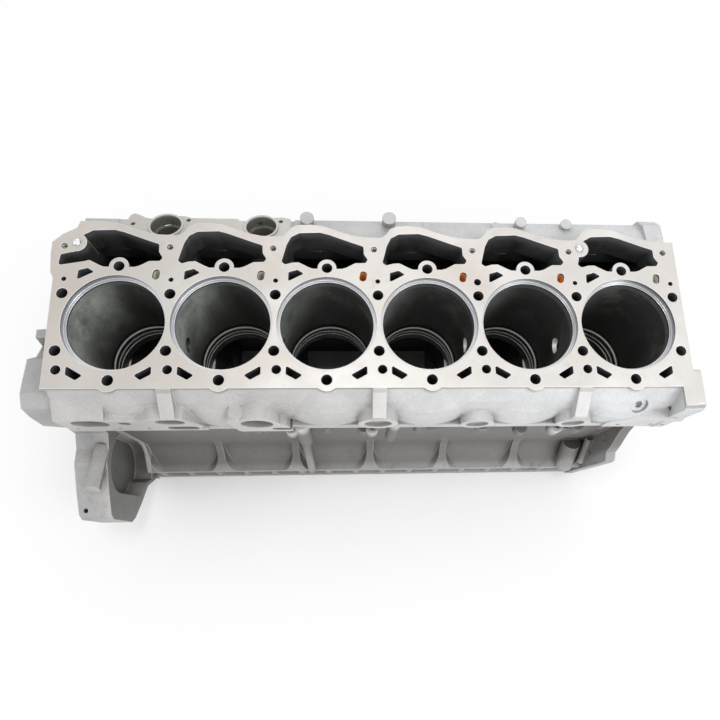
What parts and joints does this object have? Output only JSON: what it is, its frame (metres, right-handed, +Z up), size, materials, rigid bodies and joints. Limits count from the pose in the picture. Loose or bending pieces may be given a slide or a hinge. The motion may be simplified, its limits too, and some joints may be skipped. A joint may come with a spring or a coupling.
{
  "type": "engine block",
  "caption": "Bare inline cylinder block of a diesel engine with wet liner bores, pushrod chambers, main bearing caps, bushings, dowels and plugs.",
  "frame": {"origin": "crankshaft axis at the middle of the centre main bearing", "axes": "+X along the crankshaft from the flywheel end to the front end, +Y across towards the pushrod side, +Z up towards the head face"},
  "size_m": [1.085, 0.558, 0.538],
  "materials": {
    "casting": "silver grey painted casting with machined faces",
    "cap_iron": "bare machined iron",
    "bolt_steel": "dark oiled steel",
    "dowel_steel": "ground bright steel",
    "plug_steel": "zinc plated steel",
    "bushing_bronze": "bearing bronze"
  },
  "bodies": {
    "root": {"cylinder_block": "casting", "main_bearing_cap_1": "cap_iron", "main_bearing_cap_2": "cap_iron", "main_bearing_cap_3": "cap_iron", "main_bearing_cap_4": "cap_iron", "main_bearing_cap_5": "cap_iron", "main_bearing_cap_6": "cap_iron", "main_bearing_cap_7": "cap_iron", "main_cap_bolts": "bolt_steel", "camshaft_bushing_1": "bushing_bronze", "camshaft_bushing_2": "bushing_bronze", "camshaft_bushing_3": "bushing_bronze", "camshaft_bushing_4": "bushing_bronze", "camshaft_bushing_5": "bushing_bronze", "camshaft_bushing_6": "bushing_bronze", "camshaft_bushing_7": "bushing_bronze", "head_dowels": "dowel_steel", "end_core_plug": "plug_steel", "oil_gallery_plugs": "bolt_steel", "camshaft_bore_plug": "plug_steel", "shoulder_port_plug": "plug_steel", "flywheel_end_dowels": "dowel_steel", "front_cover_dowels": "dowel_steel"}
  },
  "joints": []
}
